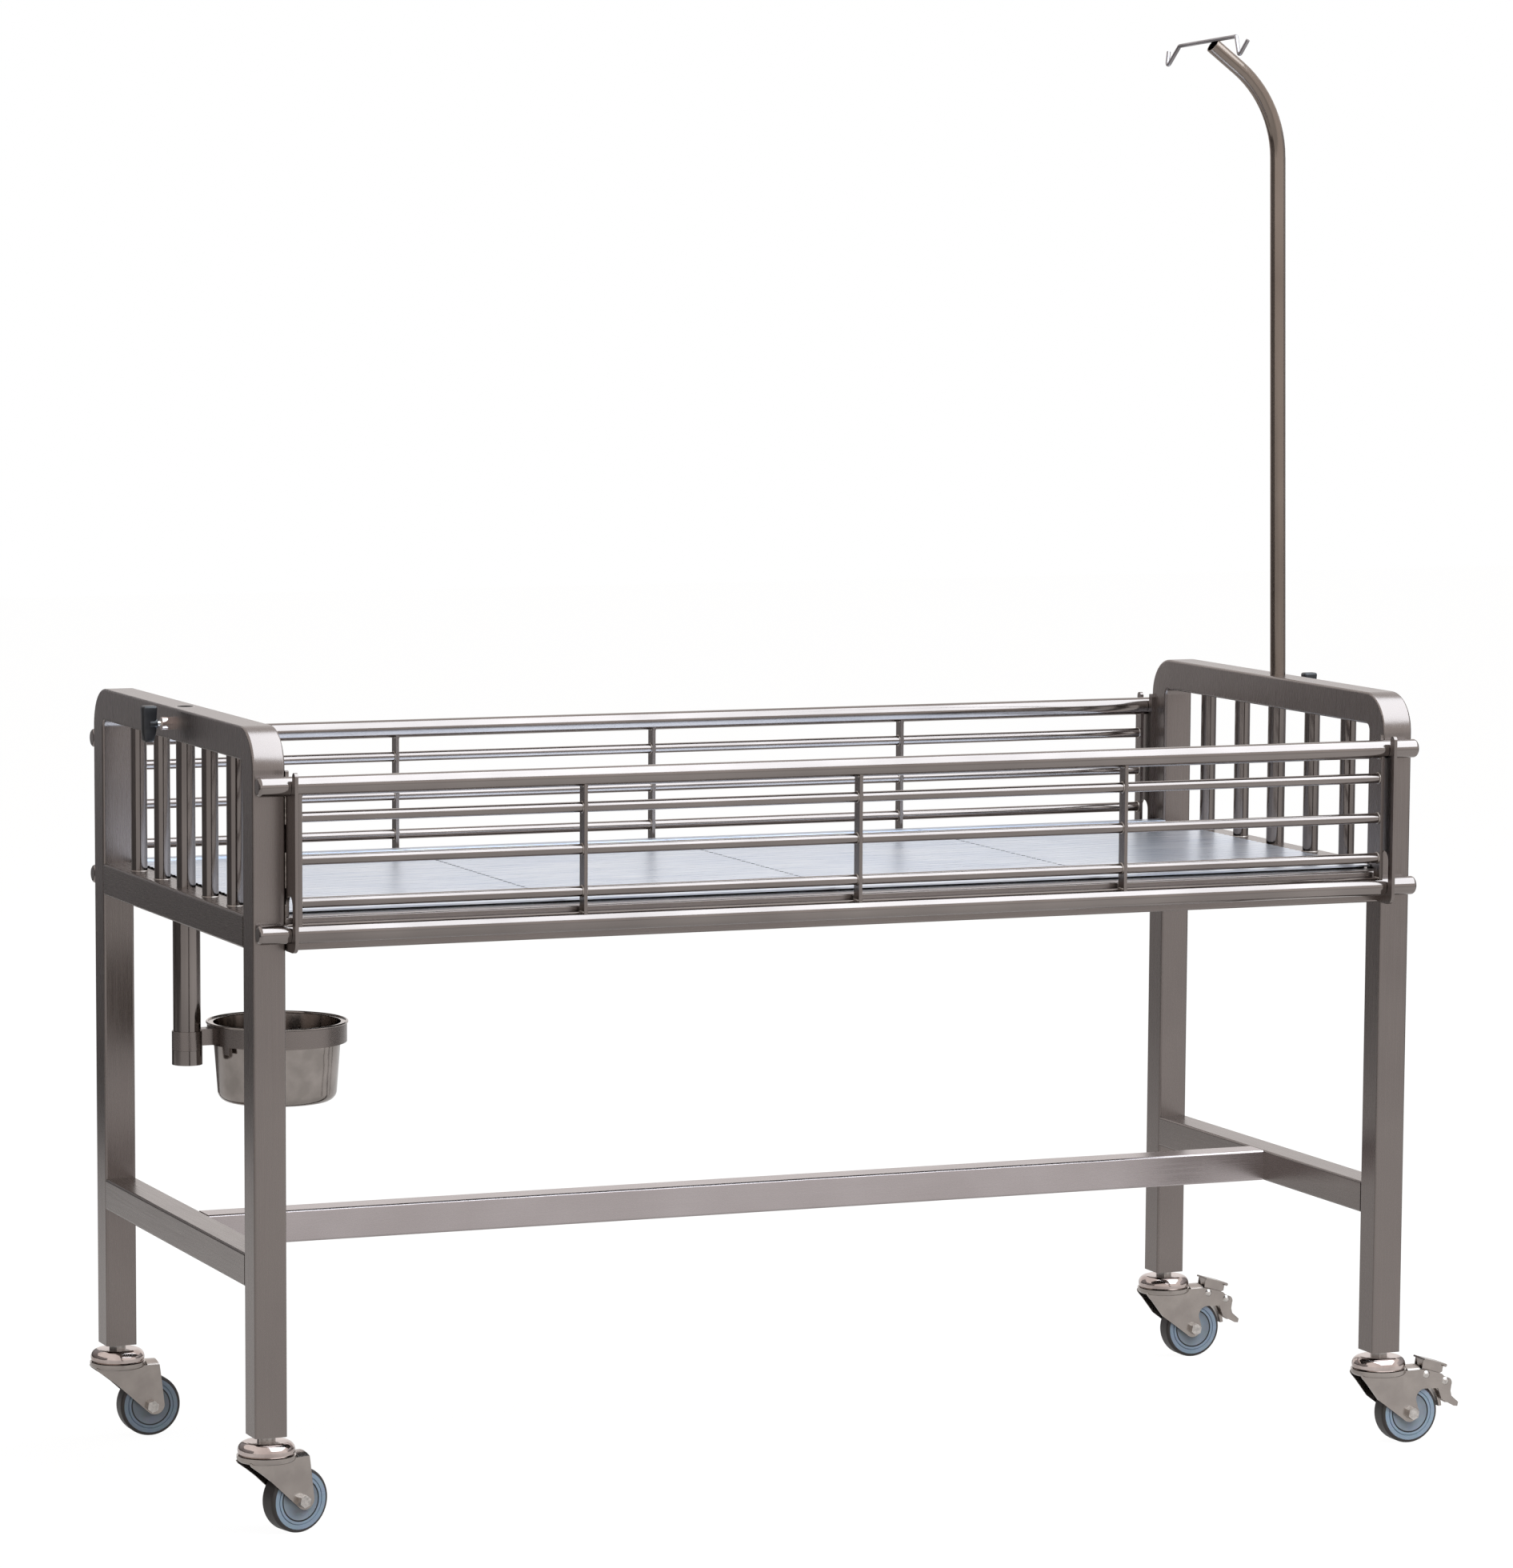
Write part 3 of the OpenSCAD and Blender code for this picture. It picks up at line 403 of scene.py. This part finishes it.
class TROLLEY_OT_bright_finish(bpy.types.Operator):
    """Polished steel on the bowl and the casters, zinc on the fasteners"""

    bl_idname = "trolley.bright_finish"
    bl_label = "Bright finish"

    def execute(self, context):
        bright = polished_steel("buffed_stainless", "#aea09b", "#ccbfba", 0.08)
        dress(bright, "swivel_domes", "clamp_bosses")
        dress(polished_steel("bright_drawn_wire", "#807c7d", "#989496", 0.15), "hook_rod")
        dress(polished_steel("drawn_stainless_sheet", "#8b847f", "#9e9691", 0.1), "bowl")
        pressed = polished_steel("pressed_stainless_sheet", "#9c948f", "#a8a09a", 0.2)
        dress(pressed, *[n for n in NODES if n.endswith("_fork") or "brake" in n or "lever" in n])
        plate = zinc_plate("zinc_plated_steel", "#8e8a87", "#b3afab")
        dress(plate, "caster_stems", "caster_nuts", "swivel_balls")
        # New zinc: the screws and bolts that a hand or a spanner turns
        dress(zinc_plate("bright_zinc_plated_steel", "#aea9a5", "#d0cbc6"), "left_knob_screw",
              "right_knob_screw", *[n for n in NODES if n.endswith("_axle")])
        return {"FINISHED"}


class TROLLEY_OT_wheel_finish(bpy.types.Operator):
    """Rubber tyres and moulded centres on the four wheels, black plastic on the pole's foot"""

    bl_idname = "trolley.wheel_finish"
    bl_label = "Wheel finish"

    def execute(self, context):
        f = context.scene.trolley_finishes
        # Nylon centre and thermoplastic rubber tyre: a greyer middle inside a parting groove painted near
        # black as painted shade, pale sides up to the round edge, then the tread painted dark as painted
        # shade. Distances are in mm from the wheel's centre
        groove_shade = "#15181b"
        rings = [(25.7, f.wheel_centre), (26.0, groove_shade), (27.3, groove_shade), (27.6, f.wheel_side),
                 (35.2, f.wheel_side), (35.9, f.wheel_tread)]
        for corner in ("front_left", "rear_left", "front_right", "rear_right"):
            wheel = wheel_rings("thermoplastic_wheel_" + corner, middle(corner + "_tyre"), rings)
            dress(wheel, corner + "_tyre", corner + "_hub")
        black = moulded_plastic("moulded_black_nylon", "#1c1b1c", "#2b2a2b", 0.42)
        dress(black, "pole_foot")
        return {"FINISHED"}


class TROLLEY_OT_knobs(bpy.types.Operator):
    """Moulded wing knobs on the two clamp screws"""

    bl_idname = "trolley.knobs"
    bl_label = "Wing knobs"

    def execute(self, context):
        # Moulded nylon: black, a dull sheen on its rounded edges
        black = moulded_plastic("moulded_black_nylon", "#191a1d", "#26272b", 0.33)
        low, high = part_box("left_knob")
        mid = (low + high) / 2
        size = high - low
        wing_x, wing_depth, wing_width = low.x + 9.3 * MM, 18.4 * MM, size.y * 0.84
        boss_x, boss_radius, boss_depth = high.x - 5.2 * MM, 6.4 * MM, 10 * MM
        cuts, waist, lower_wing = (-7 * MM, 8 * MM), 12 * MM, -16 * MM
        clear_selection()
        bpy.ops.mesh.primitive_cube_add(size=1, location=(wing_x, mid.y, mid.z))
        bpy.ops.object.mode_set(mode="EDIT")
        bpy.ops.transform.resize(value=(wing_depth, wing_width, size.z))
        for z in cuts:
            bpy.ops.mesh.select_all(action="SELECT")
            bpy.ops.mesh.bisect(plane_co=(mid.x, mid.y, mid.z + z), plane_no=(0, 0, 1))
        # Waist for the fingers, then the lower wing's two corners drawn in, the inner one more
        pick(lambda c: abs(c.z) < waist)
        bpy.ops.transform.resize(value=(0.93, 0.82, 1.0))
        pick(lambda c: c.z < lower_wing and c.x > 0)
        bpy.ops.transform.translate(value=(-4.5 * MM, 0, 0))
        pick(lambda c: c.z < lower_wing and c.x < 0)
        bpy.ops.transform.translate(value=(2.2 * MM, 0, 0))
        bpy.ops.mesh.select_all(action="DESELECT")
        bpy.ops.mesh.edges_select_sharp(sharpness=math.radians(40))
        bpy.ops.mesh.bevel(offset=3.2 * MM, segments=4)
        # Boss on the screw
        bpy.ops.mesh.select_all(action="DESELECT")
        bpy.ops.mesh.primitive_cylinder_add(vertices=32, radius=boss_radius, depth=boss_depth,
                                            location=(boss_x, mid.y, mid.z), rotation=(0, math.pi / 2, 0))
        bpy.ops.mesh.bevel(offset=0.8 * MM, segments=2)
        left = settle("left_wing_knob", black, 45)
        # The right one is the left one, turned half round the trolley's middle
        over = Vector(((LEFT + RIGHT) / 2, (FRONT + REAR) / 2, 0))
        half_turn = Matrix.Translation(over) @ Matrix.Rotation(math.pi, 4, "Z") @ Matrix.Translation(-over)
        right = stamp(left, half_turn)
        right.name = right.data.name = "right_wing_knob"
        for piece, side in ((left, "left"), (right, "right")):
            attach(piece, side + "_clamp")
            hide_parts(side + "_knob")
        return {"FINISHED"}


class TROLLEY_OT_welds(bpy.types.Operator):
    """Rippled weld beads where bars, plates and tubes meet"""

    bl_idname = "trolley.welds"
    bl_label = "Weld beads"

    # Lengths in mm: seam across a flat, its distance from a long tube's axis, a bead's from a flat's middle
    seam_length = 12
    seam_off = 10.6
    flat_face = 2.2

    def string(self, length, bead, material):
        """A run of weld along Z: a small disc extruded ripple by ripple, tapered at both ends."""
        end, crest, trough = 0.4, 1.0, 0.8
        clear_selection()
        bpy.ops.mesh.primitive_circle_add(vertices=8, radius=bead * end * MM, fill_type="NGON",
                                          location=(0, 0, 0))
        bpy.ops.object.mode_set(mode="EDIT")
        bpy.ops.mesh.select_all(action="SELECT")
        steps = max(4, 2 * round(length / bead / 1.1))
        sizes = [end] + [crest if k % 2 == 0 else trough for k in range(steps - 1)] + [end]
        for last, size in zip(sizes, sizes[1:]):
            bpy.ops.mesh.extrude_region_move(TRANSFORM_OT_translate={"value": (0, 0, length / steps * MM)})
            bpy.ops.transform.resize(value=(size / last, size / last, 1.0))
        return settle("weld_run", material, 70)

    def ring(self, radius, bead, material):
        """A weld round a tube: a torus with every other ring drawn in."""
        clear_selection()
        count = 2 * max(8, round(math.pi * radius / bead / 1.2))
        bpy.ops.mesh.primitive_torus_add(major_segments=count, minor_segments=6, major_radius=radius * MM,
                                         minor_radius=bead * MM, location=(0, 0, 0), rotation=(0, 0, 0))
        bpy.ops.object.mode_set(mode="EDIT")
        half = math.pi / count
        pick(lambda c: int((math.atan2(c.y, c.x) + 2 * math.pi + half) / (2 * half)) % 2 == 0)
        bpy.ops.transform.shrink_fatten(value=-0.22 * bead * MM)
        return settle("weld_ring", material, 70)

    def guard_beads(self, name, seam, bar_ring):
        """Seams where the flats of a guard meet its long tubes, and rings where its bars pass them."""
        low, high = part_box(name + "_tubes")
        y = (low.y + high.y) / 2
        bottom, top = low.z + GUARD_TUBE_R * MM, high.z - GUARD_TUBE_R * MM
        both = (-self.flat_face, self.flat_face)
        copies = []
        for k in range(-2, 3):
            x = k * GUARD_FLAT_STEP * MM + (LEFT + RIGHT) / 2
            for z in (bottom + self.seam_off * MM, top - self.seam_off * MM):
                for d in both:
                    place = Matrix.Translation((x + d * MM, y - self.seam_length / 2 * MM, z))
                    copies.append(stamp(seam, place @ turned((0, 1, 0))))
            # An outermost flat has its rings on the inner face only
            faces = both if abs(k) < 2 else (-math.copysign(self.flat_face, k),)
            for j in (-1, 0, 1):
                z = (bottom + top) / 2 + j * GUARD_BAR_STEP * MM
                for d in faces:
                    place = Matrix.Translation((x + d * MM, y, z)) @ turned((1, 0, 0))
                    copies.append(stamp(bar_ring, place))
        return copies

    def frame_beads(self, spindle_ring, stitch):
        """Rings at both ends of the end bars, and three stitches down each guard plate."""
        copies = []
        low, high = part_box("end_spindles")
        for k in (-2, -1, 1, 2):
            for x in (TUBE / 2, LENGTH - TUBE / 2):
                for z in (low.z, high.z):
                    place = at(x, WIDTH / 2 + k * SPINDLE_STEP, z)
                    copies.append(stamp(spindle_ring, Matrix.Translation(place)))
        low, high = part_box("guard_brackets")
        heights = (low.z + 12 * MM, low.z + 70 * MM, high.z - 60 * MM)
        for x in (TUBE, LENGTH - TUBE):
            for y in (0, WIDTH):
                for z in heights:
                    copies.append(stamp(stitch, Matrix.Translation(at(x, y, z))))
        return copies

    def execute(self, context):
        # Weld metal as laid: brighter than the ground tube, with a straw tint of heat
        bright = zinc_plate("stainless_weld_metal", "#857c76", "#b9b1aa")
        seam = self.string(self.seam_length, 1.3, bright)
        stitch = self.string(40, 0.9, bright)
        bar_ring = self.ring(6.2, 1.1, bright)
        spindle_ring = self.ring(9.6, 0.9, bright)
        for name in ("front_guard", "rear_guard"):
            gather(self.guard_beads(name, seam, bar_ring), name + "_welds", name)
        gather(self.frame_beads(spindle_ring, stitch), "frame_welds", "frame")
        for o in (seam, stitch, bar_ring, spindle_ring):
            bpy.data.objects.remove(o)
        return {"FINISHED"}


class TROLLEY_OT_stage(bpy.types.Operator):
    """Floor, mirrored cards, soft light and the photograph's camera"""

    bl_idname = "trolley.stage"
    bl_label = "Studio"

    def lay_floor(self, s):
        """Painted floor: matt and warm grey. The camera sees mostly its glow, past white, and no shadow."""
        camera_share, metal_share, glow_strength = 0.8, 0.45, 1.21
        bpy.ops.object.select_all(action="DESELECT")
        bpy.ops.mesh.primitive_plane_add(size=30, location=(0, 0, 0))
        floor = bpy.context.object
        floor.name = "studio_floor"
        mat = new_material("matt_painted_floor")
        ray = add(mat, "ShaderNodeLightPath").outputs
        metal = add(mat, "ShaderNodeMath", {1: metal_share}, {0: ray["Is Glossy Ray"]}, operation="MULTIPLY")
        share = add(mat, "ShaderNodeMath", {1: camera_share}, {0: ray["Is Camera Ray"], 2: metal.outputs[0]},
                    operation="MULTIPLY_ADD")
        lit = add(mat, "ShaderNodeBsdfDiffuse", {"Color": linear(s.floor)})
        glow = add(mat, "ShaderNodeEmission", {"Color": (1, 1, 1, 1), "Strength": glow_strength})
        mix = add(mat, "ShaderNodeMixShader", {},
                  {0: share.outputs[0], 1: lit.outputs[0], 2: glow.outputs[0]})
        add(mat, "ShaderNodeOutputMaterial", links={"Surface": mix.outputs[0]})
        floor.data.materials.append(mat)

    def stand_cards(self, s):
        """Felt cards behind the left end and at both sides, darker near the floor.

        The tubes mirror them, and the camera looks through them.
        """
        tall = 2.0
        felt = new_material("felt_card")
        ray = add(felt, "ShaderNodeLightPath").outputs
        height = add(felt, "ShaderNodeSeparateXYZ", {},
                     {"Vector": add(felt, "ShaderNodeTexCoord").outputs["Object"]})
        tone = ramp(felt, height.outputs["Z"], [(0.1, s.card_low), (0.75, s.card_high)])
        matt = add(felt, "ShaderNodeBsdfDiffuse", {}, {"Color": tone})
        clear = add(felt, "ShaderNodeBsdfTransparent")
        both = add(felt, "ShaderNodeMixShader", {},
                   {0: ray["Is Camera Ray"], 1: matt.outputs[0], 2: clear.outputs[0]})
        add(felt, "ShaderNodeOutputMaterial", links={"Surface": both.outputs[0]})
        for name, x, y, wide, turn in (("back", -2.45, 2.4, 4.2, 0), ("left", -4.2, 0.3, 4.0, 80),
                                       ("right", 3.4, 0.6, 4.2, -80)):
            bpy.ops.object.select_all(action="DESELECT")
            bpy.ops.mesh.primitive_plane_add(size=1, location=(x, y, tall / 2),
                                             rotation=(math.radians(90), 0, math.radians(turn)))
            card = bpy.context.object
            card.name = name + "_studio_card"
            card.scale = (wide, tall, 1.0)
            bpy.ops.object.transform_apply(location=True, rotation=True, scale=True)
            card.data.materials.append(felt)

    def light_room(self, scene, s):
        """White to the camera, warm white in the metal, a softer level as light from all round."""
        warm_white = (1.0, 0.96, 0.945, 1)
        world = bpy.data.worlds.new("studio_room")
        scene.world = world
        world.use_nodes = True
        world.node_tree.nodes.clear()
        ray = add(world, "ShaderNodeLightPath").outputs
        metal = add(world, "ShaderNodeMath", {}, {0: ray["Is Glossy Ray"], 1: ray["Is Transmission Ray"]},
                    operation="MAXIMUM")
        room = add(world, "ShaderNodeBackground", {"Color": (1, 1, 1, 1), "Strength": s.sky})
        warm = add(world, "ShaderNodeBackground", {"Color": warm_white, "Strength": 1.0})
        white = add(world, "ShaderNodeBackground", {"Color": (1, 1, 1, 1), "Strength": 1.0})
        light = add(world, "ShaderNodeMixShader", {},
                    {0: metal.outputs[0], 1: room.outputs[0], 2: warm.outputs[0]})
        both = add(world, "ShaderNodeMixShader", {},
                   {0: ray["Is Camera Ray"], 1: light.outputs[0], 2: white.outputs[0]})
        add(world, "ShaderNodeOutputWorld", links={"Surface": both.outputs[0]})

    def hang_softbox(self, s):
        """Long softbox overhead, to the right and the front, where the tubes' upper halves mirror it."""
        bpy.ops.object.light_add(type="AREA", location=(1.5, -1.6, 3.3), rotation=(math.radians(12), 0, 0))
        lamp = bpy.context.object
        lamp.name = "softbox"
        lamp.data.shape = "RECTANGLE"
        lamp.data.size, lamp.data.size_y = 4.0, 5.4
        lamp.data.color = (0.79, 0.9, 1.0)
        lamp.data.energy = s.key

    def place_camera(self, scene):
        bpy.ops.object.camera_add(location=CAMERA_PLACE, rotation=[math.radians(a) for a in CAMERA_TURN])
        cam = bpy.context.object
        cam.name = "camera"
        cam.data.sensor_fit = "AUTO"
        cam.data.sensor_width = CAMERA_SENSOR
        cam.data.lens = CAMERA_LENS
        cam.data.shift_x, cam.data.shift_y = CAMERA_SHIFT
        cam.data.clip_end = 60
        scene.camera = cam

    def execute(self, context):
        s = context.scene.trolley_studio
        self.lay_floor(s)
        self.stand_cards(s)
        self.light_room(context.scene, s)
        self.hang_softbox(s)
        self.place_camera(context.scene)
        context.scene.view_settings.view_transform = "Standard"
        return {"FINISHED"}


class TROLLEY_PT_panel(bpy.types.Panel):
    bl_label = "Patient trolley"
    bl_space_type = "VIEW_3D"
    bl_region_type = "UI"
    bl_category = "Trolley"

    def draw(self, context):
        for op in OPERATORS:
            self.layout.operator(op.bl_idname)
        for group in (context.scene.trolley_finishes, context.scene.trolley_studio):
            for name in group.__annotations__:
                self.layout.prop(group, name)


OPERATORS = [TROLLEY_OT_stage, TROLLEY_OT_frame_finish, TROLLEY_OT_deck_finish, TROLLEY_OT_bright_finish,
             TROLLEY_OT_wheel_finish, TROLLEY_OT_knobs, TROLLEY_OT_welds]
CLASSES = [TrolleyFinishes, TrolleyStudio, *OPERATORS, TROLLEY_PT_panel]


def register():
    for c in CLASSES:
        bpy.utils.register_class(c)
    bpy.types.Scene.trolley_finishes = bpy.props.PointerProperty(type=TrolleyFinishes)
    bpy.types.Scene.trolley_studio = bpy.props.PointerProperty(type=TrolleyStudio)


def unregister():
    del bpy.types.Scene.trolley_studio
    del bpy.types.Scene.trolley_finishes
    for c in reversed(CLASSES):
        bpy.utils.unregister_class(c)


def main():
    register()
    for op in OPERATORS:
        module, name = op.bl_idname.split(".")
        if getattr(getattr(bpy.ops, module), name)() != {"FINISHED"}:
            raise RuntimeError(op.bl_label + " wasn't finished")
    bpy.context.view_layer.update()


if __name__ == "__main__":
    main()
